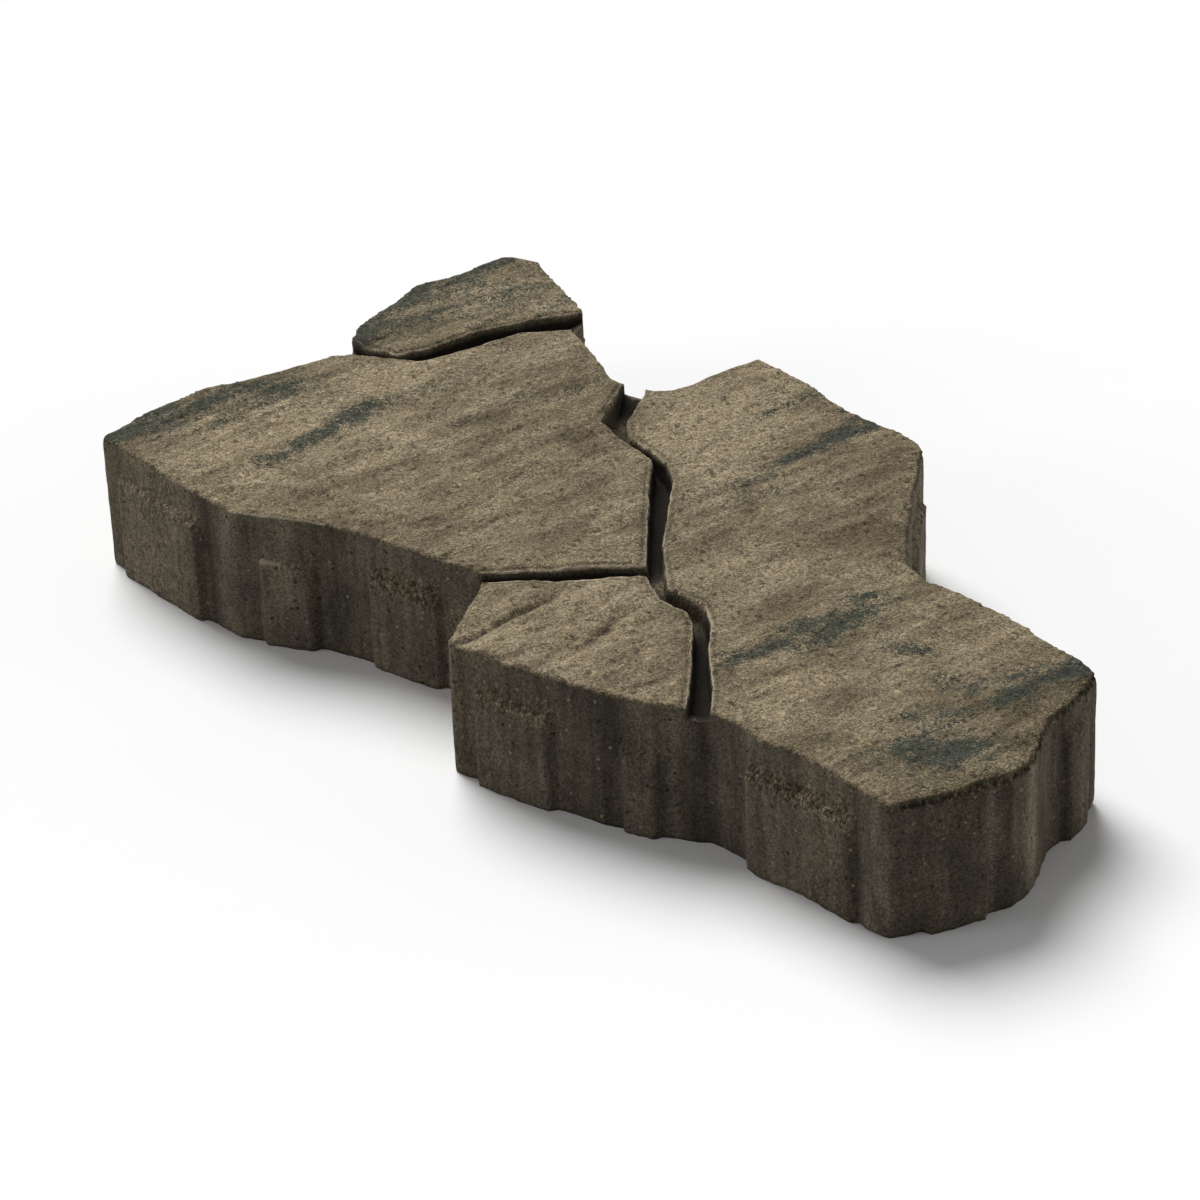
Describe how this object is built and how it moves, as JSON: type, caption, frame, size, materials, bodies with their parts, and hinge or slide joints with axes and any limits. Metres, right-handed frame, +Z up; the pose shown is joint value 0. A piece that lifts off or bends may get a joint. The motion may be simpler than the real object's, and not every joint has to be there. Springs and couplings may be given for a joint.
{
  "type": "flagstone paver",
  "caption": "Irregular dry-cast concrete paver whose riven face is divided by false joints into natural-looking stones, with raised spacer panels on its walls.",
  "frame": {"origin": "middle of the unit's bounding box, on its flat base", "axes": "+Z up from the base to the face, +Y along the longest extent towards the small back stone, +X to the right"},
  "size_m": [0.398, 0.468, 0.06],
  "materials": {
    "concrete": "matt riven concrete, tan-brown with slate streaks"
  },
  "bodies": {
    "root": {"paver": "concrete"}
  },
  "joints": []
}
